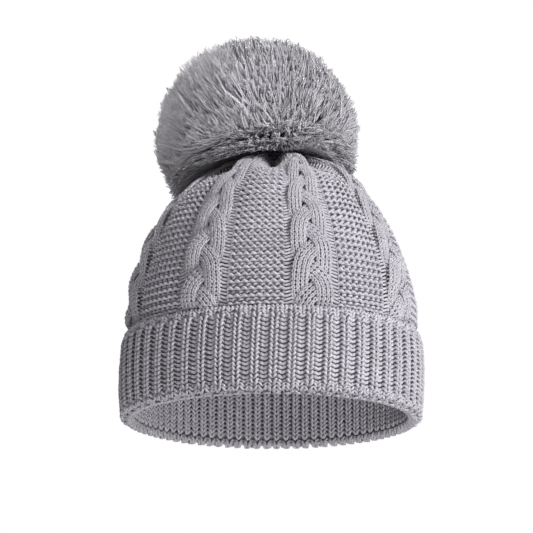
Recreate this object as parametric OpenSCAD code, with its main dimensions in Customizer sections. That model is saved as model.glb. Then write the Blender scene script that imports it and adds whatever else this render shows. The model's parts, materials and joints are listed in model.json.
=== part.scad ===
// Pom pom beanie: a baby's knitted hat with a cabled crown, a turned-up rib cuff and a yarn pom pom.
// Origin: centre of the head opening, on the level of the bottom fold. +Z up, front is -Y.

/* [Band and cuff] */
// Radius of the head opening
head_r = 62; // [58:0.5:66]
// Thickness of one layer of knitting
wall = 3.4; // [2.5:0.1:4]
// Height of the turned-up cuff
cuff_h = 41; // [34:1:46]
// How far the middle of the cuff bulges past its ends
cuff_bulge = 1; // [0:0.1:2]

/* [Crown] */
// Number of cables, and of moss-stitch panels between them
repeats = 8; // [6:1:10]
// Outer radius of the crown where it leaves the cuff
crown_r = 67; // [65:0.5:69]
// Height of the crown above its widest level
crown_h = 80; // [72:1:86]
// Roundness of the crown's outline, 2 is an ellipse
crown_n = 2.1; // [1.9:0.05:2.6]
// Turn of the front moss-stitch panel from the middle of the front
front_turn = -6.5; // [-20:0.5:20]
// Half width of a cable, as an angle at the crown's axis
cable_half = 8.7; // [6:0.1:10]
// Width of the purl gutter on each side of a cable, as an angle
gutter = 1.9; // [1:0.1:3]
// How far a cable stands proud of the panels
cable_proud = 1.6; // [0.5:0.1:2.5]

/* [Gathered top] */
// Radius at which the crown's stitches are gathered
gather_r = 12; // [11:0.5:14]
// Height of the point that the pom pom turns about
pivot_z = 122.3; // [121:0.1:124]
// Radius of the hole that the tie passes through
tie_hole_r = 2.4; // [2:0.1:3]

/* [Pom pom] */
// Radius of the ball of cut yarn
pom_r = 49; // [44:0.5:52]
// Sideways place of the ball's middle, towards the wearer's left
pom_x = -7; // [-9:0.5:-4]
// Place of the ball's middle behind the crown's top
pom_y = 16; // [12:0.5:20]
// Height of the ball's middle
pom_z = 138; // [134:0.5:142]
// How far the pom pom lifts forwards from where it lies
nod_max = 16; // [10:1:20]
// How far the pom pom tips to the side from where it lies
sway_max = 10; // [6:1:14]

/* [Hidden] */
$fn = 96;
arc_steps = 9;            // straight steps in each curved outline
front = -90;              // angle of the hat's front about +Z
pitch = 360 / repeats;
panel_half = pitch / 2 - cable_half - gutter;
band_top = cuff_h + 1;    // level where the band runs on into the crown
widest_z = 44;            // level at which the crown is widest
fold_r = head_r + wall + 0.2;          // middle of the bottom fold
fold_w = wall + 0.2;                   // half width of the bottom fold
fold_z = fold_w * cos(10);             // level of the fold's centre, so that it stands on its flat
knit_grey = [0.66, 0.65, 0.68];
cable_grey = [0.71, 0.70, 0.73];
yarn_grey = [0.60, 0.59, 0.62];

// The gather, the tie and the binding
seat_z = pivot_z - 4.8;   // dished seat of the gather under the pom pom's binding
seat_r = 8.9;
ball_r = 2.2;             // end of the tie tails, inside the loop
loop_ring = [3.9, 1.2];   // loop: ring radius, yarn radius
bind_ring = [7.1, 1.6];   // binding: ring radius, bundle radius
pocket_r = bind_ring[0] + bind_ring[1] + 0.1;
clear_r = 70.1;           // ball that holds the whole crown, its cables and the pom pom's clearance to them
clear_z = 57;
gather_yarn = [10.4, 0.8];

// Label inside the back
label = [20, 0.8, 26];
label_top = 72;
label_y = 56.9;

// Point of the crown's outline, for a layer that lies `inset` inside the outer surface.
// u runs from 0 at the widest level to 90 at the axis.
function crown_point(u, inset) =
    [(crown_r - inset) * pow(cos(u), 2 / crown_n),
     widest_z + (crown_h - inset) * pow(sin(u), 2 / crown_n)];

// The same outline at a given radius
function crown_u(r, inset) = acos(pow(r / (crown_r - inset), crown_n / 2));

// Outline points of one layer, from the widest level up to the gather
function crown_curve(inset) =
    [for (i = [0 : arc_steps]) crown_point(crown_u(gather_r, inset) * i / arc_steps, inset)];

function reversed(list) = [for (i = [len(list) - 1 : -1 : 0]) list[i]];

// Knitted wall between two layers of the crown, as an outline to turn about the axis
module crown_wall_outline(outer, inner) {
    polygon(concat([[crown_r - inner, band_top], [crown_r - outer, band_top]],
                   crown_curve(outer), reversed(crown_curve(inner))));
}

// Slice of a turned outline, centred on azimuth a from the hat's front
module slice(a, half) {
    rotate_extrude(angle = 2 * half, start = front + a - half) children();
}

// One moss-stitch panel
module crown_panel(i) {
    color(knit_grey)
    slice(front_turn + (i - 1) * pitch, panel_half) crown_wall_outline(0, wall);
}

// One cable, proud of the panels, with the purl gutter on each side of it
module crown_cable(i) {
    a = front_turn + (i - 0.5) * pitch;
    color(cable_grey) {
        slice(a, cable_half) crown_wall_outline(-cable_proud, wall);
        for (side = [-1, 1])
            slice(a + side * (cable_half + gutter / 2), gutter / 2) crown_wall_outline(0.8, wall);
    }
}

// Stitches drawn together at the top, dished for the binding, with the hole for the tie
module crown_gather() {
    top = crown_point(crown_u(gather_r, 0), 0)[1];
    under = crown_point(crown_u(gather_r, wall), wall)[1];
    color(knit_grey)
    rotate_extrude()
    polygon([[tie_hole_r, seat_z], [seat_r, seat_z], [gather_r, top], [gather_r, under],
             [seat_r, seat_z - wall], [tie_hole_r, seat_z - wall]]);
}

// Inner layer of the rib band: the head opening is a true bore
module inner_band() {
    color(knit_grey)
    translate([0, 0, fold_z])
    difference() {
        cylinder(h = band_top - fold_z, r = head_r + wall);
        translate([0, 0, -1]) cylinder(h = cuff_h + 2, r = head_r);
    }
}

// Bottom fold, half round with a narrow flat that the hat stands on
module brim_fold() {
    color(knit_grey)
    rotate_extrude()
    polygon([for (a = [180 : 20 : 360]) [fold_r + fold_w * cos(a), fold_z + fold_w * sin(a)]]);
}

// Turned-up outer layer of the rib band
module cuff() {
    inner = head_r + wall + 0.4;
    outer = fold_r + fold_w;
    color(knit_grey)
    rotate_extrude()
    polygon([[inner, fold_z], [outer, fold_z], [outer + cuff_bulge * 0.6, cuff_h * 0.3],
             [outer + cuff_bulge * 0.8, cuff_h * 0.6], [outer + cuff_bulge * 0.2, cuff_h * 0.9],
             [outer - 0.8, cuff_h], [inner + 0.8, cuff_h], [inner, cuff_h - 1.2]]);
}

// Linked seam on the inside of the centre back, from the band up towards the gather
module back_seam() {
    u_end = crown_u(25, wall);
    ridge = 1.4;
    color(yarn_grey)
    slice(180, 1.8)
    polygon(concat([for (i = [0 : arc_steps]) crown_point(u_end * i / arc_steps, wall + ridge)],
                   [for (i = [arc_steps : -1 : 0]) crown_point(u_end * i / arc_steps, wall + 0.3)]));
}

// Ring of yarn
module yarn_ring(ring) {
    rotate_extrude() translate([ring[0], 0]) circle(r = ring[1], $fn = 32);
}

// Gathering yarn, drawn tight under the crown's top
module gathering_yarn() {
    color(yarn_grey)
    translate([0, 0, crown_point(crown_u(gather_r, wall), wall)[1] - wall - gather_yarn[1] - 0.4])
    yarn_ring(gather_yarn);
}

// Knot of the tails inside the crown
module anchor_knot() {
    knot_r = 3.4;
    color(yarn_grey)
    translate([0, 0, seat_z - wall - knot_r - 0.1])
    sphere(r = knot_r);
}

// Blank label, sewn along its top edge
module care_label() {
    color("white")
    difference() {
        translate([-label[0] / 2, label_y, label_top - label[2]]) cube(label);
        label_thread(0);
    }
}

// Five short stitches through the top edge of the label
module label_thread(grow) {
    for (x = [-8 : 4 : 8])
        translate([x, label_y - grow, label_top - 2]) rotate([-90, 0, 0])
        cylinder(h = label[1] + 2 * grow, r = 0.45, $fn = 24);
}

module label_stitches() {
    color("gainsboro") label_thread(0.4);
}

// Tails of the tie: up through the gather, ending in the ball that everything above turns on
module tie_tails() {
    tail_r = 1.7;
    foot = seat_z - wall;
    color(yarn_grey)
    union() {
        translate([0, 0, foot]) cylinder(h = pivot_z - foot, r = tail_r);
        translate([0, 0, pivot_z]) sphere(r = ball_r);
    }
}

// Loop of the tails, round the ball
module tie_loop() {
    color(yarn_grey) translate([0, 0, pivot_z]) yarn_ring(loop_ring);
}

// Binding round the middle of the pom pom's yarn
module pompom_binding() {
    color(yarn_grey) translate([0, 0, pivot_z]) yarn_ring(bind_ring);
}

// Crown's clearance ball, as the pom pom meets it when nodded and swayed about the pivot
module crown_clearance(nod, sway) {
    translate([0, 0, pivot_z])
    rotate([0, -sway, 0]) rotate([-nod, 0, 0])
    translate([0, 0, clear_z - pivot_z])
    sphere(r = clear_r);
}

// Ball of cut yarn, hollowed to lie over the crown and clear of it over the whole travel
module pompom_strands() {
    color(yarn_grey)
    difference() {
        translate([pom_x, pom_y, pom_z]) sphere(r = pom_r);
        for (nod = [0, nod_max / 2, nod_max], sway = [0, sway_max / 2, sway_max])
            crown_clearance(nod, sway);
        translate([0, 0, pivot_z]) sphere(r = pocket_r);
    }
}

for (i = [1 : repeats]) {
    crown_panel(i);
    crown_cable(i);
}
crown_gather();
inner_band();
brim_fold();
cuff();
back_seam();
gathering_yarn();
anchor_knot();
care_label();
label_stitches();
tie_tails();
tie_loop();
pompom_binding();
pompom_strands();
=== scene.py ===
import json
import math

import bpy
import numpy as np
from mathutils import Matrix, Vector


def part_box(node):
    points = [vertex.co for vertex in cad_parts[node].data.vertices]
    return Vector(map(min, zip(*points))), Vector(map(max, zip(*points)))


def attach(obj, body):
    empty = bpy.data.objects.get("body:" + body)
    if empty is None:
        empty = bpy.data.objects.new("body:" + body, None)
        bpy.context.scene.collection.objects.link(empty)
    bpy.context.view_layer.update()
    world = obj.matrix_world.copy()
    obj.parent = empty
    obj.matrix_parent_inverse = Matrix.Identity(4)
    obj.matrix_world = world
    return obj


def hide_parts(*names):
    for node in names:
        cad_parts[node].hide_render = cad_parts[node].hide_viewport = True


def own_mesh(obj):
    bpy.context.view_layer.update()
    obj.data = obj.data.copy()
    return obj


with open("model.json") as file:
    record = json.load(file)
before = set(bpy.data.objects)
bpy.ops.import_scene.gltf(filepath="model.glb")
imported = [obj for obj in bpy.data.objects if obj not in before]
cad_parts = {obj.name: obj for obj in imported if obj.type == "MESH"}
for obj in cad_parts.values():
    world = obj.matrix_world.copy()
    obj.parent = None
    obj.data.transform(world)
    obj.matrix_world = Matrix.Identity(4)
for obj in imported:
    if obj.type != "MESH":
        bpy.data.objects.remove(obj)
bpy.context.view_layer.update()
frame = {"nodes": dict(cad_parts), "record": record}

# The knitting is worked out in millimetres and turned into metres where a mesh is made.
MM = 0.001
rng = np.random.default_rng(11)


# ---------------------------------------------------------------- sizes, from the frame
def low(node):
    """Lowest corner of a CAD node, in millimetres."""
    return np.array(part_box(node)[0]) / MM


def high(node):
    """Highest corner of a CAD node, in millimetres."""
    return np.array(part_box(node)[1]) / MM


def node_points(node):
    """All vertices of a CAD node, in millimetres."""
    mesh = frame["nodes"][node].data
    flat = np.empty(len(mesh.vertices) * 3)
    mesh.vertices.foreach_get("co", flat)
    return flat.reshape(-1, 3) / MM


mounts = {mount["name"]: mount for mount in frame["record"]["mounts"]}
HEAD_R = mounts["head_opening"]["dims"]["r_mm"]
REPEATS = sum(name.startswith("crown_panel_") for name in frame["nodes"])
PITCH = 2 * math.pi / REPEATS
PANEL = node_points("crown_panel_1")
FRONT = math.atan2(PANEL[:, 0].mean(), -PANEL[:, 1].mean())
CROWN_R = np.hypot(PANEL[:, 0], PANEL[:, 1]).max()
GATHER_R = high("crown_gather")[0]
GATHER_TOP = high("crown_gather")[2]
SEAT_Z = high("tie_loop")[2] - 6.0                       # dished seat of the gather, under the tie's loop
PIVOT = (low("tie_loop") + high("tie_loop")) / 2 * [0, 0, 1]    # point that the pom pom turns about
CUFF_R = high("cuff")[0]
CUFF_TOP = high("cuff")[2]
POM_LOW, POM_HIGH = low("pompom_strands"), high("pompom_strands")
POM_R = (POM_HIGH[0] - POM_LOW[0]) / 2
POM_C = np.array([*(POM_LOW + POM_HIGH)[:2] / 2, POM_HIGH[2] - POM_R])

WIDEST_Z = 44                   # level at which the crown is widest
CROWN_N = 2.1                   # roundness of the crown's outline
CABLE_HALF = math.radians(8.7)  # half width of a cable, as an angle at the crown's axis
GUTTER = math.radians(2.6)      # width of the ladder of purl bars beside a cable

# Yarn and stitches, lengths in millimetres
YARN = 0.5             # yarn radius
PLY_LENGTH = 4         # length of yarn to one unit of its UVs
ROW = 1.7              # height of one row of the crown
RIB_ROW = 2.0          # height of one row of the band
MOSS_CELLS = 8         # pairs of wales across a moss-stitch panel
STRAND_WALES = 4       # stitches across a cable's strand
STRAND_WALE = 2.1      # width of one of them
PLAIT_START = 67.3     # height at which the front cables' strands cross
PLAIT_PITCH = 61.5     # length in which a cable's three strands come back to their places
PLAIT_SWING = 6.0      # how far a strand swings to each side
PLAIT_RISE = 1.25      # how far it rises and dips where it crosses
RIBS = 52              # ridges round the cuff
INNER_RIBS = 88        # ridges round the inside of the band
QUARTERS = 4           # pieces round each layer of the band
STEPS = 10             # points in one stitch of a cable


# ---------------------------------------------------------------- shader nodes
def set_sockets(node, values):
    """Sets a node's input sockets, by name or number."""
    for socket, value in values.items():
        node.inputs[socket].default_value = value


def add_node(nodes, kind, values=None):
    """New shader node with its input sockets set."""
    node = nodes.new("ShaderNode" + kind)
    set_sockets(node, values or {})
    return node


def new_material(name, values):
    """Material with its shader's sockets set, and what more is built on: its nodes, links and shader."""
    material = bpy.data.materials.new(name)
    material.use_nodes = True
    nodes, links = material.node_tree.nodes, material.node_tree.links
    shader = nodes["Principled BSDF"]
    set_sockets(shader, values)
    return material, nodes, links, shader


# ---------------------------------------------------------------- camera and light
def add_to_scene(name, data, place, look):
    """New camera or light at a place, looking in a direction."""
    thing = bpy.data.objects.new(name, data)
    bpy.context.collection.objects.link(thing)
    thing.location = place
    thing.rotation_mode = "QUATERNION"
    thing.rotation_quaternion = look.to_track_quat("-Z", "Y")
    return thing


def add_camera():
    """Long lens, a little below the hat, so that the head opening shows."""
    distance, elevation = 2.5, math.radians(12.66)
    centre = Vector((-0.0024, 0, 0.0733))
    look = Vector((0, math.cos(elevation), math.sin(elevation)))
    data = bpy.data.cameras.new("camera")
    data.sensor_width = 36
    data.lens = 365.8
    data.clip_end = 20
    bpy.context.scene.camera = add_to_scene("camera", data, centre - look * distance, look)


def add_area_light(name, place, target, size, watts, spread=180):
    """Round soft light at a place, aimed at a target, with its beam's spread in degrees."""
    data = bpy.data.lights.new(name, "AREA")
    data.shape = "DISK"
    data.size = size
    data.energy = watts
    data.spread = math.radians(spread)
    add_to_scene(name, data, place, Vector(target) - Vector(place))


def add_world():
    """White paper to the camera, and a dimmer glow from all sides on the hat."""
    world = bpy.data.worlds.new("studio")
    bpy.context.scene.world = world
    world.use_nodes = True
    nodes, links = world.node_tree.nodes, world.node_tree.links
    nodes.clear()
    out = add_node(nodes, "OutputWorld")
    mix = add_node(nodes, "MixShader")
    path = add_node(nodes, "LightPath")
    glow = add_node(nodes, "Background", {"Color": (0.99, 0.97, 1, 1), "Strength": 0.27})
    paper = add_node(nodes, "Background", {"Color": (1, 1, 1, 1), "Strength": 1.0})
    links.new(path.outputs["Is Camera Ray"], mix.inputs[0])
    links.new(glow.outputs[0], mix.inputs[1])
    links.new(paper.outputs[0], mix.inputs[2])
    links.new(mix.outputs[0], out.inputs[0])


def add_floor():
    """Pale table top, seen from above only: light and a low camera pass up through it."""
    bpy.ops.mesh.primitive_plane_add(size=6, location=(0, 0, -0.0004))
    floor = bpy.context.object
    floor.name = "floor"
    material, nodes, links, shader = new_material("floor", {
        "Base Color": (0.75, 0.75, 0.75, 1), "Roughness": 0.9,
        "Emission Color": (1, 1, 1, 1), "Emission Strength": 0.5})
    clear = add_node(nodes, "BsdfTransparent")
    side = add_node(nodes, "NewGeometry")
    mix = add_node(nodes, "MixShader")
    links.new(side.outputs["Backfacing"], mix.inputs[0])
    links.new(shader.outputs[0], mix.inputs[1])
    links.new(clear.outputs[0], mix.inputs[2])
    links.new(mix.outputs[0], nodes["Material Output"].inputs[0])
    floor.data.materials.append(material)
    floor.visible_shadow = False
    floor.visible_diffuse = False


add_camera()
add_world()
add_floor()
add_area_light("key", (1.1, -0.8, 0.8), (0, 0, 0.08), 0.5, 27.5)
add_area_light("low", (0.35, -1.05, -0.95), (0, 0.04, 0.03), 0.8, 16)
add_area_light("top", (-0.6, -0.65, 1.3), (0, 0, 0.15), 0.7, 6)
add_area_light("fill", (-0.55, -0.55, 0.4), (-0.04, 0, 0.185), 0.12, 0.035, spread=14)
add_area_light("back", (-0.4, 1.1, 1.0), (0, 0, 0.09), 0.8, 7)
bpy.context.scene.view_settings.view_transform = "Standard"


# ---------------------------------------------------------------- materials
def yarn_material(name, light, dark, sheen=0.35, depth=0.0):
    """Heather yarn: flecks and soft patches of two greys, plies by the UVs and fine fibres in the bump."""
    material, nodes, links, shader = new_material(name, {
        "Roughness": 0.88, "Specular IOR Level": 0.25,
        "Sheen Weight": sheen, "Sheen Roughness": 0.45, "Sheen Tint": (0.95, 0.95, 1, 1),
        "Subsurface Weight": depth, "Subsurface Radius": (1, 1, 1), "Subsurface Scale": 0.004})

    place = add_node(nodes, "TexCoord")
    fleck = add_node(nodes, "TexNoise", {"Scale": 900, "Detail": 3})
    patch = add_node(nodes, "TexNoise", {"Scale": 60, "Detail": 2})
    links.new(place.outputs["Object"], fleck.inputs["Vector"])
    links.new(place.outputs["Object"], patch.inputs["Vector"])

    tone = add_node(nodes, "Attribute")
    tone.attribute_name = "tone"
    total = add_node(nodes, "Math")
    total.operation = "ADD"
    links.new(fleck.outputs["Fac"], total.inputs[0])
    links.new(tone.outputs["Fac"], total.inputs[1])
    soft = add_node(nodes, "Math", {1: 0.5})
    soft.operation = "MULTIPLY_ADD"
    links.new(patch.outputs["Fac"], soft.inputs[0])
    links.new(total.outputs[0], soft.inputs[2])
    ramp = add_node(nodes, "MapRange", {"From Min": 0.45, "From Max": 1.1})
    links.new(soft.outputs[0], ramp.inputs["Value"])
    mix = add_node(nodes, "Mix")
    mix.data_type = "RGBA"
    set_sockets(mix, {"A": (*dark, 1), "B": (*light, 1)})
    links.new(ramp.outputs[0], mix.inputs["Factor"])
    links.new(mix.outputs["Result"], shader.inputs["Base Color"])

    plies = add_node(nodes, "TexWave", {"Scale": 7, "Distortion": 0.6})
    plies.wave_type = "BANDS"
    plies.bands_direction = "DIAGONAL"
    links.new(place.outputs["UV"], plies.inputs["Vector"])
    fibres = add_node(nodes, "TexNoise", {"Scale": 5200, "Detail": 2})
    links.new(place.outputs["Object"], fibres.inputs["Vector"])
    height = add_node(nodes, "Math", {1: 0.7})
    height.operation = "MULTIPLY_ADD"
    links.new(fibres.outputs["Fac"], height.inputs[0])
    links.new(plies.outputs["Fac"], height.inputs[2])
    bump = add_node(nodes, "Bump", {"Strength": 0.55, "Distance": 0.00022})
    links.new(height.outputs[0], bump.inputs["Height"])
    links.new(bump.outputs[0], shader.inputs["Normal"])
    return material


def cloth_material(name, colour, roughness=0.9):
    """Plain fine cloth with a close weave."""
    material, nodes, links, shader = new_material(name, {
        "Base Color": (*colour, 1), "Roughness": roughness, "Sheen Weight": 0.15})
    place = add_node(nodes, "TexCoord")
    weave = add_node(nodes, "TexChecker", {"Scale": 2400})
    links.new(place.outputs["Object"], weave.inputs["Vector"])
    bump = add_node(nodes, "Bump", {"Strength": 0.3, "Distance": 0.0002})
    links.new(weave.outputs["Fac"], bump.inputs["Height"])
    links.new(bump.outputs[0], shader.inputs["Normal"])
    return material


KNIT = yarn_material("knit_yarn", (0.63, 0.605, 0.655), (0.41, 0.39, 0.43))
POM_YARN = yarn_material("pompom_yarn", (0.69, 0.665, 0.715), (0.30, 0.29, 0.315), sheen=0.2, depth=0.4)
TIE_YARN = yarn_material("tie_yarn", (0.56, 0.54, 0.585), (0.38, 0.365, 0.405))
# painted shade: dark grey for the sheets behind the yarn, so that the gaps between stitches look shaded
PAINTED_GAP_SHADE = cloth_material("knit_ground", (0.2, 0.192, 0.213))
LABEL = cloth_material("label_satin", (0.86, 0.86, 0.84), 0.5)
THREAD = cloth_material("label_thread", (0.7, 0.7, 0.7), 0.6)


# ---------------------------------------------------------------- meshes
def make_mesh(name, points, faces, material, tone=None, uv=None):
    """Mesh object from millimetre points and a list of arrays of four-cornered faces."""
    corners = np.concatenate([f.ravel() for f in faces]).astype(np.int32)
    starts = np.arange(0, len(corners), 4, dtype=np.int32)
    mesh = bpy.data.meshes.new(name)
    mesh.vertices.add(len(points))
    mesh.vertices.foreach_set("co", (np.asarray(points, float) * MM).ravel())
    mesh.loops.add(len(corners))
    mesh.loops.foreach_set("vertex_index", corners)
    mesh.polygons.add(len(starts))
    mesh.polygons.foreach_set("loop_start", starts)
    if uv is not None:
        layer = mesh.uv_layers.new(name="yarn")
        layer.data.foreach_set("uv", uv[corners].ravel())
    if tone is not None:
        attribute = mesh.attributes.new("tone", "FLOAT", "POINT")
        attribute.data.foreach_set("value", np.asarray(tone, np.float32))
    mesh.update()
    mesh.validate()
    mesh.shade_smooth()
    mesh.materials.append(material)
    piece = bpy.data.objects.new(name, mesh)
    bpy.context.collection.objects.link(piece)
    return piece


def unit(v):
    """Vectors of length 1 in the same directions."""
    return v / np.maximum(np.linalg.norm(v, axis=-1, keepdims=True), 1e-9)


class Yarns:
    """Gathers batches of tubes into one mesh. A batch is (tubes, points, 3), swept with a round section."""

    def __init__(self, sides=4):
        self.sides = sides
        self.points, self.quads, self.tones, self.uvs, self.count = [], [], [], [], 0

    def add(self, paths, normals, radius, tone=None, closed=False):
        """Sweeps tubes of a radius along paths. A tube of four sides also gets a face at each open end."""
        n, m, _ = paths.shape
        k = self.sides
        normals = np.broadcast_to(normals, paths.shape)
        radius = np.broadcast_to(np.asarray(radius, float), (n, m))
        if closed:
            tangent = unit(np.roll(paths, -1, 1) - np.roll(paths, 1, 1))
        else:
            tangent = unit(np.gradient(paths, axis=1))
        across = unit(np.cross(tangent, normals))
        up = np.cross(across, tangent)
        turn = 2 * np.pi * (np.arange(k) + 0.5) / k
        ring = up[:, :, None] * np.cos(turn)[:, None] + across[:, :, None] * np.sin(turn)[:, None]
        points = paths[:, :, None] + ring * radius[:, :, None, None]
        index = self.count + np.arange(n * m * k).reshape(n, m, k)
        if closed:
            index = np.concatenate([index, index[:, :1]], 1)
        around = np.roll(index, -1, 2)
        quads = np.stack([index[:, :-1], around[:, :-1], around[:, 1:], index[:, 1:]], -1).reshape(-1, 4)
        self.quads.append(quads)
        if not closed and k == 4:
            self.quads.append(index[:, 0, ::-1])
            self.quads.append(index[:, -1])
        self.points.append(points.reshape(-1, 3))
        if tone is None:
            tone = rng.normal(0, 0.05, (n, 1)) + rng.normal(0, 0.09, (n, m))
        tone = np.broadcast_to(tone, (n, m))
        self.tones.append(np.repeat(tone.ravel(), k))
        steps = np.linalg.norm(np.diff(paths, axis=1), axis=2)
        length = np.concatenate([np.zeros((n, 1)), np.cumsum(steps, 1)], 1)
        u = np.broadcast_to(length[:, :, None] / PLY_LENGTH, (n, m, k))
        v = np.broadcast_to(np.abs(np.arange(k) - k / 2) / k, (n, m, k))
        self.uvs.append(np.stack([u, v], -1).reshape(-1, 2))
        self.count += n * m * k

    def build(self, name, material):
        """Makes one mesh object of all the batches."""
        return make_mesh(name, np.concatenate(self.points), self.quads, material,
                         np.concatenate(self.tones), np.concatenate(self.uvs))


# ---------------------------------------------------------------- layers of knitting
class Layer:
    """A layer of knitting, as an outline (radius, height) turned about the hat's axis."""

    def __init__(self, outline, shape=None):
        outline = np.asarray(outline, float)
        step = np.hypot(*np.diff(outline, axis=0).T)
        along = np.concatenate([[0], np.cumsum(step)])
        self.length = along[-1]
        self.s = np.linspace(0, self.length, 600)
        r = np.interp(self.s, along, outline[:, 0])
        z = np.interp(self.s, along, outline[:, 1])
        blur = np.hanning(13)
        blur /= blur.sum()
        pad = len(blur) // 2
        self.r = np.convolve(np.pad(r, pad, "reflect", reflect_type="odd"), blur, "valid")
        self.z = np.convolve(np.pad(z, pad, "reflect", reflect_type="odd"), blur, "valid")
        tr, tz = np.gradient(self.r), np.gradient(self.z)
        size = np.hypot(tr, tz)
        self.nr, self.nz = tz / size, -tr / size
        self.shape = shape

    def radius(self, s):
        """Distance from the hat's axis at a distance along the layer."""
        return np.interp(s, self.s, self.r)

    def at_height(self, z):
        """Distance along the layer at which it first reaches height z."""
        return self.s[np.argmax(self.z >= z)]

    def place(self, azimuth, s, lift):
        """Points and outward normals at an azimuth from the front, a distance along and a lift."""
        s = np.broadcast_to(s, azimuth.shape)
        r, z = np.interp(s, self.s, self.r), np.interp(s, self.s, self.z)
        nr, nz = np.interp(s, self.s, self.nr), np.interp(s, self.s, self.nz)
        if self.shape is not None:
            lift = lift + self.shape(azimuth, r, z)
        radial = np.stack([np.sin(azimuth), -np.cos(azimuth), np.zeros_like(azimuth)], -1)
        points = radial * (r + nr * lift)[..., None]
        points[..., 2] = z + nz * lift
        normals = radial * nr[..., None]
        normals[..., 2] = nz
        return settle(points), normals


def smooth_step(t):
    """Eases from 0 to 1 as t does."""
    t = np.clip(t, 0, 1)
    return t * t * (3 - 2 * t)


def settle(points):
    """Small unevenness that knitting always has, and the crown's slight lean to the side."""
    x, y, z = points[..., 0], points[..., 1], points[..., 2]
    rise = np.clip((z - CUFF_TOP) / 60, 0, 1)
    a = np.arctan2(x, -y)
    wave = 0.35 * np.sin(3 * a + 0.07 * z) + 0.25 * np.sin(7 * a - 0.11 * z + 1)
    out = 1 + wave * (0.4 + rise) / 66
    lean = (0.4 + 2.6 * smooth_step((z - 95) / 22)) * smooth_step((z - 45) / 20)
    off_axis = smooth_step((np.hypot(x, y) - 4) / 12)      # the tie stays on the axis
    moved = points.copy()
    moved[..., 0] = x * out + lean * off_axis
    moved[..., 1] = y * out
    moved[..., 2] = z + 0.35 * np.sin(2 * a + 0.6) * np.clip(z / CUFF_TOP, 0, 1)
    return moved


def cable_spread(r):
    """How many times its usual share of the round a cable takes where the crown is drawn together."""
    return 1 + 0.72 * smooth_step((34 - r) / 20)


def panel_half(r):
    """Half width of a moss-stitch panel, as an angle, where the crown's radius is r."""
    return PITCH / 2 - (CABLE_HALF + GUTTER) * cable_spread(r)


def crown_shape(azimuth, r, z):
    """Lift of the crown's surface: panels bulge, and dip between the cables where they are drawn together."""
    turn = (azimuth - FRONT) / PITCH
    off = np.abs(turn - np.round(turn)) * 2                # 0 at a panel's middle, 1 at a cable's
    gathered = smooth_step((44 - r) / 22) * smooth_step((r - 8) / 9)
    bulge = np.exp(-((r - 52) / 9) ** 2)
    between = 1 - smooth_step((off - 0.12) / 0.62)
    slim = -1.7 * np.exp(-((z - 82) / 20) ** 2)            # at mid height the knitting lies inside the CAD
    return slim + 0.7 * bulge * (2 * between - 1) - 5.0 * gathered * between + 0.8 * gathered * (1 - between)


def crown_outline():
    """From inside the cuff, up over the crown and down into the gather."""
    inside = 1.4                # depth of the stitches' middles under the CAD's surface
    radius, height = CROWN_R - inside, GATHER_TOP + 1.2 - WIDEST_Z - inside
    u = np.linspace(0, math.acos((GATHER_R / radius) ** (CROWN_N / 2)), 60)
    curve = np.stack([radius * np.cos(u) ** (2 / CROWN_N),
                      WIDEST_Z + height * np.sin(u) ** (2 / CROWN_N)], 1)
    start = [[radius - 1.5, CUFF_TOP - 9], [radius - 1.2, CUFF_TOP - 3]]
    down = [[GATHER_R - 2.5, curve[-1, 1] - 1.0], [GATHER_R - 5, SEAT_Z - 1.2], [3.6, SEAT_Z - 3.2]]
    return np.concatenate([start, curve, down])


def rib_outline():
    """From the top of the head opening down, round the bottom fold, up the cuff and over its edge."""
    proud = 1.35                # depth of the stitches' middles under the CAD's surface
    inner, outer = HEAD_R + proud, CUFF_R - 1.0 - proud
    fold = (outer - inner) / 2
    middle = (outer + inner) / 2
    level = fold + proud
    down = [[inner, CUFF_TOP + 5], [inner, level]]
    turn = [[middle - fold * math.cos(a), level - fold * math.sin(a)]
            for a in np.linspace(0.1, math.pi - 0.1, 24)]
    up_z = np.linspace(level, CUFF_TOP - 2.2, 20)
    t = (up_z - level) / (up_z[-1] - level)
    up = np.stack([outer + 1.0 * np.sin(np.pi * np.clip(t * 0.95, 0, 1)) ** 0.8 - 0.5 * t ** 3, up_z], 1)
    lip = 0.95
    edge_r = up[-1, 0] - lip
    over = [[edge_r + lip * math.cos(a), CUFF_TOP - 2.0 + lip * math.sin(a)]
            for a in np.linspace(0.1, math.pi, 10)]
    back = [[edge_r - lip - 0.1, CUFF_TOP - 7]]
    return np.concatenate([down, turn, up, over, back])


crown = Layer(crown_outline(), crown_shape)
rib = Layer(rib_outline())


def cells_of(count, pattern):
    """One cell's pattern of (place across, along, lift, thickness) points, repeated over several cells."""
    tiled = np.tile(pattern, (count, 1))
    tiled[:, 0] = (tiled[:, 0] + np.repeat(np.arange(count), len(pattern))) / count
    last = pattern[:1].copy()
    last[:, 0] = 1 + last[:, 0] / count
    return np.concatenate([tiled, last])


def lay(yarns, layer, rows, left, right, cells, up=1, rough=0.1):
    """Lays one course of yarn on each row, between two azimuths, a little uneven from stitch to stitch."""
    rows = np.reshape(rows, (-1, 1))
    left, right = (np.reshape(side, (-1, 1)) for side in (left, right))
    across, along, lift, thick = cells.T
    azimuth = left + (right - left) * np.broadcast_to(across, (len(rows), len(cells)))
    uneven = rng.normal(0, rough, (2, len(rows), len(cells) // 5 + 2))
    spots = np.linspace(0, uneven.shape[2] - 1.001, len(cells))
    whole = spots.astype(int)
    uneven = uneven[..., whole] * (1 - spots + whole) + uneven[..., whole + 1] * (spots - whole)
    path, normal = layer.place(azimuth, rows + up * (along + uneven[0]), lift + 0.5 * uneven[1])
    yarns.add(path, normal, YARN * thick)


def finish(yarns, name, node, body="hat", material=KNIT):
    """Makes the yarns a piece on a body, in place of a CAD node if one is named."""
    piece = yarns.build(name, material)
    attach(piece, body)
    if node:
        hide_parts(node)
    return piece


# ---------------------------------------------------------------- crown
CROWN_START = 4.0                            # first row, hidden behind the cuff
CROWN_END = crown.length - 9.5               # last row of the panels, before the gather


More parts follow.
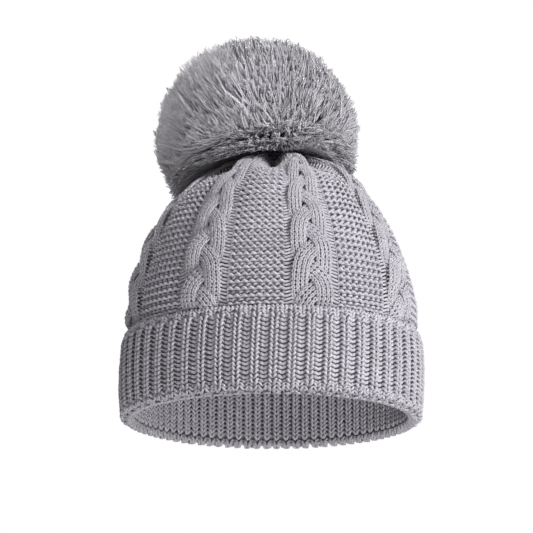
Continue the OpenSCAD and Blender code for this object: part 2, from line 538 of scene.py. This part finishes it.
def crown_rows(first, last):
    """Distances along the crown of its rows of stitches."""
    return np.arange(first + ROW / 2, last, ROW)


def moss_panel(i):
    """One moss-stitch panel: rows of proud bars with rows of holes between, fewer across towards the top."""
    yarns = Yarns(sides=5)
    centre = FRONT + i * PITCH
    q = np.arange(8) / 8
    near = np.cos(2 * np.pi * (q - 0.5))
    bar = np.stack([q, 0.28 * near + 0.14 * np.sin(2 * np.pi * q), 0.45 + 0.4 * near, 1.33 + 0.2 * near], 1)
    hole = np.stack([q + 0.05 * np.sin(2 * np.pi * q), 0.25 * np.sin(4 * np.pi * q) - 0.3 * near,
                     -0.75 - 0.75 * near, 1.1 - 0.35 * near], 1)
    for j, s in enumerate(crown_rows(CROWN_START, CROWN_END)):
        r = crown.radius(s)
        half = panel_half(r) * 1.03                        # a little way under the ladders
        width = half * r / (panel_half(CROWN_R) * CROWN_R)
        cells = max(2, int(round(MOSS_CELLS * width ** 0.85)))
        thin = min(1.0, width * MOSS_CELLS / cells) ** 0.7
        pattern = (bar if j % 2 else hole) * [1, 1, thin, thin]
        lay(yarns, crown, [s], centre - half, centre + half, cells_of(cells, pattern), rough=0.12)
    return finish(yarns, f"crown_panel_{i + 1}_knit", f"crown_panel_{i + 1}")


def cable(i):
    """One cable: three strands of four knit wales, plaited, and a ladder of purl bars down each side."""
    yarns = Yarns()
    centre = FRONT + (i + 0.5) * PITCH
    turned = (centre + np.pi) % (2 * np.pi) - np.pi
    hand = 1 if turned > 0 else -1
    phase = crown.at_height(PLAIT_START) + (0 if abs(turned) < 1 else 9 * math.sin(3 * i))
    half = STRAND_WALES / 2 * STRAND_WALE
    q = np.arange(STRAND_WALES * STEPS + 1) / STEPS        # place across the strand, in stitches
    t = 2 * np.pi * (q % 1)
    lean = 1.5                                             # of a stitch's legs
    wale = np.clip(q + 0.09 * np.sin(t) + lean * np.sin(2 * t) / (2 * np.pi), 0, STRAND_WALES)
    v = wale * STRAND_WALE - half
    s = crown_rows(CROWN_START, CROWN_END + 3)[:, None]
    scale = crown.radius(s) / CROWN_R
    spread = cable_spread(crown.radius(s))
    thin = np.clip(scale * spread, 0.3, 1) ** 0.7
    z = np.interp(s, crown.s, crown.z)
    free = 0.12 + 0.88 * smooth_step((z - CUFF_TOP + 2) / 6)       # flat where the cuff covers it
    tucked = 0.3 + 0.7 * smooth_step((crown.radius(s) - 8) / 8)    # clear of the pom pom's binding
    merged = smooth_step((36 - crown.radius(s)) / 18)              # drawn into one rope at the top
    bend = 1.6                                                     # sharpness of a strand's turns
    for strand in range(3):
        theta = 2 * np.pi * ((s - phase) / PLAIT_PITCH + strand / 3)
        x = hand * PLAIT_SWING * np.tanh(bend * np.sin(theta)) / math.tanh(bend)
        slope = (hand * PLAIT_SWING * bend / np.cosh(bend * np.sin(theta)) ** 2 / math.tanh(bend)
                 * np.cos(theta) * 2 * np.pi / PLAIT_PITCH)
        turn = np.arctan(slope)
        stretch = 1 / np.maximum(np.cos(turn), 0.62)
        w = -0.66 * ROW * np.cos(t) * stretch
        side = x * (1 - 0.35 * merged) + v * np.cos(turn) * (1 + 0.2 * merged) + w * np.sin(turn)
        along = s - v * np.sin(turn) * scale * spread + w * np.cos(turn)
        round_off = np.sqrt(np.maximum(0, 1 - (v / (half * 1.04)) ** 2))
        lift = (-PLAIT_RISE * np.sin(2 * theta) * (1 - 0.4 * merged) + 1.7 * round_off
                - (0.25 * np.cos(2 * t) + 0.6 * np.cos(t)) * thin ** 0.4 + 0.1)
        lift = lift + rng.normal(0, 0.13, lift.shape)
        side = side + rng.normal(0, 0.10, side.shape)
        lift = lift * free * (0.55 + 0.45 * scale) * tucked
        path, normal = crown.place(centre + side / CROWN_R * spread, along, lift)
        yarns.add(path, normal, YARN * thin)
    rows = crown_rows(CROWN_START, CROWN_END)
    r = crown.radius(rows)
    ladder = np.array([[0, 0.7, 0.3, 1.164], [0.2, 0.55, -0.05, 1.3095], [0.45, 0.1, -0.15, 1.358],
                       [0.75, -0.35, 0.0, 1.3095], [1, -0.6, -0.45, 1.067]])
    for side in (-1, 1):
        inner = centre + side * CABLE_HALF * 0.84 * cable_spread(r)
        outer = centre + side * (CABLE_HALF + GUTTER * 1.12) * cable_spread(r)
        lay(yarns, crown, rows, inner, outer, ladder)
    return finish(yarns, f"crown_cable_{i + 1}_knit", f"crown_cable_{i + 1}")


def gather():
    """Last rows, drawn together and down to the tie."""
    yarns = Yarns()
    q = np.arange(6) / 6
    loop = np.stack([q, 0.9 * np.cos(2 * np.pi * q), 0.3 - 0.45 * np.cos(4 * np.pi * q), np.full(6, 0.95)], 1)
    stitch = 1.6
    for s in crown_rows(CROWN_END, crown.length):
        cells = max(10, int(round(2 * np.pi * crown.radius(s) / stitch)))
        lay(yarns, crown, [s], -np.pi, np.pi, cells_of(cells, loop))
    return finish(yarns, "crown_gather_knit", "crown_gather")


def inner_crown():
    """Purl side of the crown, seen from below."""
    yarns = Yarns(sides=3)
    q = np.arange(5) / 5
    depth, row, stitch = 2.1, 2.3, 3.4
    purl = np.stack([q, 0.6 * np.cos(2 * np.pi * q), -0.5 * np.cos(4 * np.pi * q) - depth,
                     np.full(5, 1.25)], 1)
    for s in np.arange(CROWN_START, CROWN_END, row):
        cells = max(12, int(round(2 * np.pi * crown.radius(s) / stitch)))
        lay(yarns, crown, [s], -np.pi, np.pi, cells_of(cells, purl))
    return finish(yarns, "crown_lining_knit", None)


# ---------------------------------------------------------------- rib band
RIDGE = 0.44                                 # share of the cuff's pitch that its ridge takes
RIB_TWIST = 0.0006                           # lean of the ribs, radians for each millimetre up
FOLD_FROM = rib.s[np.argmax(rib.z <= low("inner_band")[2])]
FOLD_TO = rib.s[np.nonzero(rib.z <= low("cuff")[2])[0][-1]]
CUFF_EDGE = rib.s[np.argmax(np.where(rib.s > FOLD_TO, rib.z, 0))] - 0.4
ARCH_TOP = CUFF_EDGE - 2.6                   # where neighbouring ridges have met above a furrow


def cuff_pattern(s):
    """One ridge and one furrow of the cuff's row at s. The ridge is two proud columns of stitches, and widens
    at the top until the furrow ends in an arch. The furrow's bars hang from it, with a pit at each side."""
    up = np.clip((s - (ARCH_TOP - 4.5)) / 5.5, 0, 1)
    down = np.clip((FOLD_TO + 3.4 - s) / 3.4, 0, 1)
    width = (1 - RIDGE) * math.sqrt(max(0.0, 1 - up ** 2.2)) * (1 - 0.25 * down)
    ridge = 1 - width
    across = np.array([-0.5, -0.43, -0.35, -0.25, -0.1])
    along = np.array([0.5, 0.85, 0.35, -0.45, -0.9])
    lift = np.array([-0.3, 0.35, 1.15, 1.3, 0.35])
    thick = np.array([0.85, 1.05, 1.5, 1.45, 0.85]) * (1 + 0.4 * (ridge - RIDGE))
    column = np.stack([(across + 0.5) * ridge, along, lift, thick], 1)
    mirrored = column[::-1] * [-1, 1, 1, 1] + [ridge, 0, 0, 0]
    columns = np.concatenate([column, mirrored])
    if width < 0.12:
        return columns
    deep = min(1.0, width / (1 - RIDGE) * 1.15) * (1 - 0.5 * down)
    t = np.array([0.06, 0.17, 0.3, 0.44, 0.58, 0.7, 0.83, 0.94])
    low_at = 0.54
    fall = np.where(t < low_at, t / low_at, (1 - t) / (1 - low_at))
    lump = np.sin(np.pi * fall)
    pit = np.abs(2 * t - 1) ** 3
    bars = np.stack([ridge + width * t, 0.6 - 1.2 * fall, -0.4 - 0.75 * deep * (1 + pit) + 0.6 * lump,
                     1.55 + 0.25 * lump - 0.65 * pit], 1)
    return np.concatenate([columns, bars])


def zigzag(cells):
    """A chain of bright stitches."""
    q = np.arange(8) / 8
    leg = np.sin(2 * np.pi * q) ** 2
    return cells_of(cells, np.stack([q, -0.85 * np.cos(2 * np.pi * q),
                                     0.15 + 0.8 * leg - 0.3 * np.cos(2 * np.pi * q), 0.8 + 0.6 * leg], 1))


def cuff_part(k):
    """A quarter of the band's turned-up outer layer, from a chain at the fold to chains over its edge."""
    yarns = Yarns()
    count = RIBS // QUARTERS
    step = 2 * math.pi / RIBS
    start = k * count * step - math.pi
    rows = np.arange(FOLD_TO + 2.4, ARCH_TOP - 1.5, RIB_ROW)
    for s in rows:
        left = start + RIB_TWIST * (s - FOLD_TO) - step * RIDGE / 2
        lay(yarns, rib, [s], left, left + count * step, cells_of(count, cuff_pattern(s)), rough=0.14)
    top_row = rows[-1] + 1.5
    edges = [(FOLD_TO - 2.3, 1.6, 0.0), (FOLD_TO - 0.7, 1.2, 0.9), (FOLD_TO + 0.9, 0.9, 0.4),
             (top_row, 1.6, 0.0), (top_row + 1.4, 0.8, 0.0), (top_row + 2.8, 0.5, 0.0),
             (top_row + 4.2, 0.3, 0.0), (top_row + 5.6, 0.4, 0.0)]
    for s, dip, proud in edges:
        left = start + RIB_TWIST * (s - FOLD_TO)
        pattern = zigzag(2 * count)
        furrow = (pattern[:, 0] * count - RIDGE / 2) % 1
        pattern[:, 2] += proud - 0.1 - dip * np.sin(np.pi * furrow) ** 2
        lay(yarns, rib, [s], left, left + count * step, pattern, rough=0.14)
    for s in np.arange(top_row + 7, rib.length, 1.5):
        lay(yarns, rib, [s], start, start + count * step, zigzag(2 * count))
    return finish(yarns, f"cuff_knit_{k + 1}", "cuff")


def inner_pattern():
    """One ridge of the band's inner face: a column of wide stitches and half a deep groove on each side."""
    half = np.array([[0.00, 0.5, -2.6, 0.6], [0.07, 1.1, -1.9, 0.8], [0.17, 1.25, 0.0, 1.35],
                     [0.29, 0.25, 0.7, 1.5], [0.41, -0.9, 0.35, 1.25], [0.5, -1.2, -0.4, 0.8]])
    other = half[4:0:-1] * [-1, 1, 1, 1] + [1, 0, 0, 0]
    return np.concatenate([half, other])


def inner_part(name, s_from, s_to, part, parts, node, fold=False):
    """Part of the band's inner face, over one of several equal shares of the round.

    Over the fold, the ridges are round lobes, so that the hat's bottom edge is scalloped.
    """
    yarns = Yarns()
    count = INNER_RIBS // parts
    step = 2 * math.pi / INNER_RIBS
    start = part * count * step - math.pi
    rows = np.arange(s_from + RIB_ROW / 2, s_to, RIB_ROW)
    pattern = inner_pattern()
    if fold:
        pattern[:, 2] = 0.95 - 2.5 * np.cos(np.pi * pattern[:, 0]) ** 4
    cells = cells_of(count, pattern)
    lay(yarns, rib, rows, start, start + count * step, cells, up=-1, rough=0.09)
    return finish(yarns, name, node)


def rib_band():
    """All of the band's knitting: the cuff, the inner band and the fold between them."""
    parts = [cuff_part(k) for k in range(QUARTERS)]
    parts += [inner_part(f"inner_band_knit_{k + 1}", 0, FOLD_FROM, k, QUARTERS, "inner_band")
              for k in range(QUARTERS)]
    parts.append(inner_part("brim_fold_knit", FOLD_FROM, FOLD_TO - 2.0, 0, 1, "brim_fold", fold=True))
    return parts


# ---------------------------------------------------------------- dark sheet behind the yarn, painted shade in the gaps
def painted_shade_sheet(name, layer, s_to, lift):
    """Thin closed dark sheet that follows a layer from its start, behind its yarn: painted shade that shows
    in the gaps between stitches.
    """
    azimuth = np.linspace(-np.pi, np.pi, 256, endpoint=False)
    a, along = np.meshgrid(azimuth, np.linspace(0, s_to, 70))
    thick = 0.25
    outer, _ = layer.place(a, along, lift)
    inner, _ = layer.place(a, along, lift - thick)
    m, n = a.shape
    index = np.arange(m * n).reshape(m, n)
    right = np.roll(index, -1, 1)
    front = np.stack([index[:-1], right[:-1], right[1:], index[1:]], -1).reshape(-1, 4)
    back = front[:, ::-1] + m * n
    hems = []
    for row, flip in ((0, 1), (m - 1, -1)):
        hem = np.stack([index[row], index[row] + m * n, right[row] + m * n, right[row]], -1)
        hems.append(hem[:, ::flip])
    points = np.concatenate([outer.reshape(-1, 3), inner.reshape(-1, 3)])
    piece = make_mesh(name, points, [front, back] + hems, PAINTED_GAP_SHADE)
    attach(piece, "hat")
    return piece


def sheet_size(layer, s_to):
    """Flat width, length and area, in metres, of a turned layer from its start."""
    s = np.linspace(0, s_to, 200)
    r = layer.radius(s)
    area = 2 * math.pi * float(np.trapz(r, s))
    return (2 * math.pi * float(r.max()) * MM, s_to * MM), area * MM * MM


# ---------------------------------------------------------------- pom pom
CROWN_BALL_R = 68.8     # ball that holds the whole crown, with room for the yarns
CROWN_BALL = np.array([0, 0, 57.0])
JOINTS = frame["record"]["behaviour"]["joints"]
JOINT_TOP = {joint["name"]: math.radians(joint["range_deg"][1]) for joint in JOINTS}
POM_YARNS = 10500       # yarns all round the ball, before those in the crown's way go
UNDER_YARNS = 3600      # yarns that lie over the crown
BALL_PIECES = 6         # pieces that the ball's yarns are made in


def crown_balls(nods, sways):
    """Middles of the ball round the crown, as the pom pom meets it where it nods, sways, or does both."""
    middles = []
    for nod in np.linspace(0, JOINT_TOP["pompom_nod"], 4) if nods else [0]:
        for sway in np.linspace(0, JOINT_TOP["pompom_sway"], 3) if sways else [0]:
            x, y, z = CROWN_BALL - PIVOT
            y, z = y * math.cos(nod) + z * math.sin(nod), -y * math.sin(nod) + z * math.cos(nod)
            x, z = x * math.cos(sway) - z * math.sin(sway), x * math.sin(sway) + z * math.cos(sway)
            middles.append(PIVOT + [x, y, z])
    return middles


def depth_in(middles, points):
    """How deep points lie in any of the crown's clearance balls."""
    return CROWN_BALL_R - np.min([np.linalg.norm(points - middle, axis=-1) for middle in middles], 0)


def clear_of_crown(points, middles, margin):
    """Pushes points out of the crown's clearance balls, to a margin outside them."""
    reach = CROWN_BALL_R + margin
    for _ in range(3):
        for middle in middles:
            away = points - middle
            far = np.linalg.norm(away, axis=-1, keepdims=True)
            points = np.where(far < reach, middle + away / far * reach, points)
    return points


def even_directions(count):
    """Directions spread evenly over a ball."""
    k = np.arange(count) + 0.5
    polar = np.arccos(1 - 2 * k / count)
    turn = np.pi * (1 + 5 ** 0.5) * k
    return np.stack([np.cos(turn) * np.sin(polar), np.sin(turn) * np.sin(polar), np.cos(polar)], 1)


def drift_of(aim, fine):
    """Smooth sideways drift that draws neighbouring yarns the same way."""
    waves = rng.normal(0, fine, (3, 5, 3))
    start = rng.random((3, 5)) * 2 * np.pi
    return np.stack([np.sin(aim @ waves[c].T + start[c]).sum(1) for c in range(3)], 1) / 2


TUFTS = 520             # groups of yarns that hold together
TUFT_AIM = unit(even_directions(TUFTS) + rng.normal(0, 0.04, (TUFTS, 3)))
TUFT_LENGTH = rng.normal(0, 0.015, (TUFTS, 1))
TUFT_TONE = rng.normal(0, 0.08, (TUFTS, 1))
TUFT_HEIGHT = rng.random((TUFTS, 1))


def tuft_of(aim):
    """Number of the tuft that each yarn belongs to."""
    return np.argmax(aim @ TUFT_AIM.T, 1)


def bent(start, bend, tip, t):
    """Lines from start to tip, drawn towards bend on the way."""
    start, bend, tip = (point[:, None] for point in (start, bend, tip))
    t = t[:, None]
    return start * (1 - t) ** 2 + 2 * bend * t * (1 - t) + tip * t ** 2


def yarn_lines(aim, middles, lie_back):
    """Lines of the pom pom's yarns, from the binding to their cut ends, and the share along of each point."""
    count = len(aim)
    tuft = tuft_of(aim)
    drift = drift_of(aim, 7) * 3.2 + drift_of(aim, 18) * 1.6
    loose = rng.normal(0, 2.1, (count, 3))
    drift, loose = (way - aim * (way * aim).sum(1, keepdims=True) for way in (drift, loose))
    gathered = unit(aim + 0.5 * (TUFT_AIM[tuft] - aim))
    length = 0.925 + 0.03 * rng.random((count, 1)) + 0.008 * rng.normal(size=(count, 1)) + TUFT_LENGTH[tuft]
    tip = POM_C + gathered * POM_R * length + drift
    core = PIVOT + [1.5, 3, 4.5]
    start = core + unit(tip - core) * rng.uniform(3, 7, (count, 1)) + rng.normal(0, 1.2, (count, 3))
    t = np.array([0.12, 0.3, 0.46, 0.6, 0.72, 0.82, 0.91, 1.0])
    bow = rng.normal(0, 2.6, (count, 1, 3)) + 1.3 * drift[:, None]
    shingle = rng.uniform(*lie_back, (count, 1))
    height = 0.74 + 0.18 * TUFT_HEIGHT[tuft] + rng.uniform(-0.02, 0.03, (count, 1))
    bend = POM_C + unit(aim + shingle * unit(PIVOT - POM_C)) * POM_R * height
    along = t[:, None]
    line = bent(start, bend, tip, t) + bow * (along * (1 - along) * 4) * 0.6 + loose[:, None] * along ** 3
    margin = 1.1 + (5.0 * TUFT_HEIGHT[tuft, None] + 1.5 * rng.random((count, 1, 1))) * (0.25 + 0.75 * along)
    return clear_of_crown(line, middles, margin), t


def underside_lines(count):
    """Lines of yarns that lie out over the crown from the binding and end at all distances from it."""
    turn = rng.uniform(math.radians(-125), math.radians(100), (count, 1))
    way = np.concatenate([np.sin(turn), -np.cos(turn)], 1)
    ball = CROWN_BALL_R + 0.8 + 13 * rng.random((count, 1))
    towards = (way * POM_C[:2]).sum(1, keepdims=True)
    out = np.full((count, 1), 30.0)
    for _ in range(4):                                     # out to the pom pom's surface
        z = CROWN_BALL[2] + np.sqrt(ball ** 2 - out ** 2)
        inside = (0.96 * POM_R) ** 2 - (z - POM_C[2]) ** 2 - (POM_C[:2] ** 2).sum() + towards ** 2
        out = np.clip(towards + np.sqrt(np.maximum(inside, 1)), 8, 47)
    out = out * (0.3 + 0.7 * np.sqrt(rng.random((count, 1))))
    tip = np.concatenate([way * out, CROWN_BALL[2] + np.sqrt(ball ** 2 - out ** 2)], 1)
    start = PIVOT + [0, 1, 4.5] + rng.normal(0, 1.4, (count, 3))
    bend = (start + tip) / 2 + rng.normal(0, 1.8, (count, 3)) + [0, 0, 4.5]
    bend = bend + [0, 0, 3.5] * rng.random((count, 1))
    return bent(start, bend, tip, np.array([0.05, 0.25, 0.42, 0.57, 0.7, 0.81, 0.91, 1.0]))


def strands(name, lines, t, tone):
    """Cut yarns of two plies that open a little at their ends."""
    count = len(lines)
    along = unit(np.gradient(lines, axis=1))
    helper = np.where(np.abs(along[..., 2:]) < 0.9, [0, 0, 1.0], [1.0, 0, 0])
    side = unit(np.cross(along, helper))
    other = np.cross(along, side)
    turn = rng.random((count, 1)) * 2 * np.pi
    yarns = Yarns(sides=3)
    taper = 0.40 * (1 - 0.35 * t ** 10)
    for ply in range(2):
        spread = 0.30 + (0.5 * rng.random((count, 1))) * t ** 5
        angle = turn + ply * np.pi + 6.5 * t
        off = side * np.cos(angle)[..., None] + other * np.sin(angle)[..., None]
        # painted shade: each yarn is darker towards the binding, deep in the ball, and a little lighter at
        # its cut end
        yarns.add(lines + off * spread[..., None], side, taper, tone + 0.12 * (t - 0.7))
    return finish(yarns, name, "pompom_strands", body="pompom", material=POM_YARN)


def pompom():
    """Ball of cut yarn. Yarns that would meet the crown as the pom pom moves are in pieces of their own, laid
    clear of the crown over the joints' travel.
    """
    aim = unit(even_directions(POM_YARNS) + rng.normal(0, 0.02, (POM_YARNS, 3)))
    tip = POM_C + aim * POM_R * 0.96
    everywhere, swaying = crown_balls(True, True), crown_balls(False, True)
    nodding, resting = crown_balls(True, False), crown_balls(False, False)
    most = 1.5                                             # depth that still counts as clear of the crown
    clear, in_sway, in_nod, at_rest = (
        depth_in(middles, tip) < most for middles in (everywhere, swaying, nodding, resting))
    front = ~clear & in_sway
    side = ~clear & ~front & in_nod
    both = ~clear & ~front & ~side & at_rest
    forward = aim[:, 1] < -aim[:, 0]
    high_enough = tip[:, 2] > 109 + 5 * rng.random(POM_YARNS)
    front = (front | both & forward) & high_enough
    side = (side | both & ~forward) & high_enough
    tone = rng.normal(0, 0.09, (POM_YARNS, 1)) + 0.04 * drift_of(aim, 14)[:, :1] + TUFT_TONE[tuft_of(aim)]
    order = rng.permutation(np.flatnonzero(clear & high_enough))
    for part in range(BALL_PIECES):
        pick = order[part::BALL_PIECES]
        lines, t = yarn_lines(aim[pick], everywhere, (0.5, 1.25))
        strands(f"pompom_strands_{part + 1}", lines, t, tone[pick])
    under = underside_lines(UNDER_YARNS)
    to_side = under[:, -1, 0] > -under[:, -1, 1] * 0.8
    skirt("pompom_skirt_front", swaying, aim[front], tone[front], under[~to_side])
    skirt("pompom_skirt_side", nodding, aim[side], tone[side], under[to_side])


def skirt(name, middles, aim, tone, under):
    """Yarns at the pom pom's foot and over the crown, in two pieces, laid clear of the crown over one joint's
    travel.
    """
    lines, t = yarn_lines(aim, middles, (0.3, 1.1))
    lines = np.concatenate([lines, clear_of_crown(under, middles, 0.9)])
    # painted light: yarns that lie over the crown, under the ball, are made lighter to make up for their
    # shade
    tone = np.concatenate([tone, rng.normal(0.14, 0.12, (len(under), 1))])
    for half in range(2):
        piece = strands(f"{name}_{half + 1}", lines[half::2], t, tone[half::2])
        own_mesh(piece)


# ---------------------------------------------------------------- small parts
def ring_of_yarn(name, body, node, centre, ring, thick, turns, strand):
    """Yarn wound many times round a ring. A strand lies at `thick` from the middle of the ring's bundle."""
    steps = 14 * turns
    a = 2 * np.pi * np.arange(steps) / steps
    b = a * turns
    radial = np.stack([np.cos(a), np.sin(a), np.zeros(steps)], 1)
    path = centre + radial * (ring + thick * np.cos(b))[:, None]
    path[:, 2] += thick * np.sin(b)
    out = radial * np.cos(b)[:, None]
    out[:, 2] = np.sin(b)
    yarns = Yarns(sides=6)
    yarns.add(path[None], out[None], strand, closed=True)
    finish(yarns, name, node, body, TIE_YARN)


def wound_ball(yarns, centre, radius, strand, turns):
    """Yarn wound over a ball, each turn at a new slant."""
    steps = 22                                             # in one turn
    a = 2 * np.pi * np.arange(steps * turns) / steps
    slant = 2.4 * 0.618 * a                                # turns all the time, so that no two lie alike
    first = np.stack([np.cos(slant), np.sin(slant), np.zeros_like(a)], 1)
    tilt = 0.9 * np.sin(slant * 0.37)
    second = np.stack([-np.sin(slant) * np.sin(tilt), np.cos(slant) * np.sin(tilt), np.cos(tilt)], 1)
    way = unit(first * np.cos(a)[:, None] + second * np.sin(a)[:, None])
    path = centre + way * (radius - strand)
    yarns.add(path[None], way[None], strand)


def twisted(yarns, line, normal, radius, strand, twists):
    """Two strands twisted about a line."""
    along = unit(np.gradient(line, axis=0))
    side = unit(np.cross(along, normal))
    other = np.cross(along, side)
    t = np.linspace(0, 1, len(line))
    for k in range(2):
        angle = 2 * np.pi * twists * t + k * np.pi
        path = line + (side * np.cos(angle)[:, None] + other * np.sin(angle)[:, None]) * radius
        yarns.add(path[None], side[None], strand)


def tie():
    """Tails that carry the pom pom, the loop on them, and the knot inside the crown."""
    foot, top = low("tie_tails")[2], PIVOT[2]
    yarns = Yarns(sides=6)
    post = np.linspace(foot, top - 1.2, 60)[:, None] * [0, 0, 1]
    twisted(yarns, post, np.array([1.0, 0, 0]), radius=0.8, strand=0.82, twists=2.5)
    wound_ball(yarns, PIVOT, (high("tie_tails")[0] - low("tie_tails")[0]) / 2, strand=0.5, turns=9)
    finish(yarns, "tie_tails_yarn", "tie_tails", "tie", TIE_YARN)
    ring_of_yarn("tie_loop_yarn", "loop", "tie_loop", PIVOT,
                 ring=3.9, thick=0.62, turns=9, strand=0.52)
    knot = Yarns(sides=6)
    bottom, upper = low("anchor_knot"), high("anchor_knot")
    middle, size = (bottom + upper) / 2, (upper[0] - bottom[0]) / 2
    wound_ball(knot, middle, size, strand=0.8, turns=14)
    wound_ball(knot, middle, size * 0.7, strand=0.8, turns=7)
    t = np.linspace(0, 1, 26)
    for side in (-1, 1):                                   # short ends that hang from the knot
        way = np.stack([side * (0.6 + 3.4 * t ** 0.7), 1.5 * np.sin(2.5 * t) * side, -2 - 11 * t], 1)
        twisted(knot, middle + way, np.array([0, 1.0, 0.2]), radius=0.45, strand=0.5, twists=2)
    finish(knot, "anchor_knot_yarn", "anchor_knot", "hat", TIE_YARN)


def gathering():
    """Gathering yarn, drawn tight under the crown's top."""
    centre = (low("gathering_yarn") + high("gathering_yarn")) / 2
    ring_of_yarn("gathering_yarn_twist", "hat", "gathering_yarn", centre,
                 ring=10.4, thick=0.36, turns=34, strand=0.42)


def seam():
    """Linked seam up the inside of the centre back: a chain of slanted stitches."""
    points = node_points("back_seam")
    r = np.hypot(points[:, 0], points[:, 1])
    stitches, steps = 34, 8
    levels = np.linspace(points[:, 2].min() + 0.7, points[:, 2].max() - 0.7, stitches)
    curve = np.polyfit(levels, [r[np.abs(points[:, 2] - level) < 8].mean() for level in levels], 4)
    z = np.linspace(levels[0], levels[-1], stitches * steps)
    t = 2 * np.pi * np.arange(len(z)) / steps
    radius = np.polyval(curve, z) + 0.45 * np.cos(2 * t)
    yarns = Yarns(sides=5)
    for side in (-1, 1):
        path = np.stack([side * 0.75 + 0.62 * np.sin(t), radius, z - 0.8 * np.cos(t)], 1)
        yarns.add(path[None], [0, -1.0, 0], 0.42)
    finish(yarns, "back_seam_chain", "back_seam", "hat", TIE_YARN)


def label():
    """Blank tape folded at the bottom, sewn along its top edge, and its stitches."""
    bottom, top = low("care_label"), high("care_label")
    width, height = top[0] - bottom[0], top[2] - bottom[2]
    middle = (bottom[1] + top[1]) / 2
    half, thick = 0.26, 0.16                               # half the gap in the fold, and the thickness
    down = np.linspace(0, 1, 22)
    bend = np.linspace(-np.pi / 2, np.pi / 2, 9)[1:-1]
    front = np.stack([np.full(len(down), -half), top[2] - (height - half) * down], 1)
    fold = np.stack([half * np.sin(bend), bottom[2] + half - half * np.cos(bend)], 1)
    strip = np.concatenate([front, fold, front[::-1] * [-1, 1]])
    step = np.gradient(strip, axis=0)
    out = unit(np.stack([-step[:, 1], step[:, 0]], 1))
    x, n = np.meshgrid(np.linspace(-width / 2, width / 2, 15), np.arange(len(strip)))
    layers = []
    for offset in (-thick / 2, thick / 2):
        line = strip + out * offset
        hang = (top[2] - line[n, 1]) / height
        sway = 0.14 * np.sin(x / 6 + 0.5) * hang
        layers.append(np.stack([x, middle + line[n, 0] + sway, line[n, 1]], -1).reshape(-1, 3))
    total = x.size
    index = np.arange(total).reshape(x.shape)
    skin = np.stack([index[:-1, :-1], index[:-1, 1:], index[1:, 1:], index[1:, :-1]], -1).reshape(-1, 4)
    rim = np.concatenate([index[0], index[1:, -1], index[-1, -2::-1], index[-2:0:-1, 0]])
    following = np.roll(rim, -1)
    edge = np.stack([following, rim, rim + total, following + total], -1)
    cloth = make_mesh("care_label_tape", np.concatenate(layers), [skin, skin[:, ::-1] + total, edge], LABEL)
    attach(cloth, "hat")
    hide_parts("care_label")

    thread = Yarns(sides=5)
    left, right = low("label_stitches"), high("label_stitches")
    level = (left[2] + right[2]) / 2
    t = np.linspace(-1, 1, 9)
    for place in np.linspace(left[0] + 0.5, right[0] - 0.5, 5):
        path = np.stack([place + 1.1 * t, middle - half - 0.3 + 0.55 * t ** 4, np.full(len(t), level)], 1)
        thread.add(path[None], [0, -1.0, 0], 0.17)
    sewing = finish(thread, "label_thread_stitches", "label_stitches", "hat", THREAD)


def knitting():
    """The crown, the band, and the dark sheets of painted shade behind them; each sheet's flat size is worked
    out.
    """
    knits = [moss_panel(i) for i in range(REPEATS)]
    knits += [cable(i) for i in range(REPEATS)]
    knits += [gather(), inner_crown()]
    ribs = rib_band()
    crown_to = crown.length - 1
    # dark sheets of painted shade behind the crown's and the band's yarn
    cloth = painted_shade_sheet("crown_ground", crown, crown_to, -1.5)
    size, area = sheet_size(crown, crown_to)
    band = painted_shade_sheet("band_ground", rib, rib.length, -1.3)
    size, area = sheet_size(rib, rib.length)


knitting()
pompom()
ring_of_yarn("pompom_binding_yarn", "pompom", "pompom_binding", PIVOT,
             ring=7.1, thick=1.15, turns=26, strand=0.45)
gathering()
seam()
tie()
label()
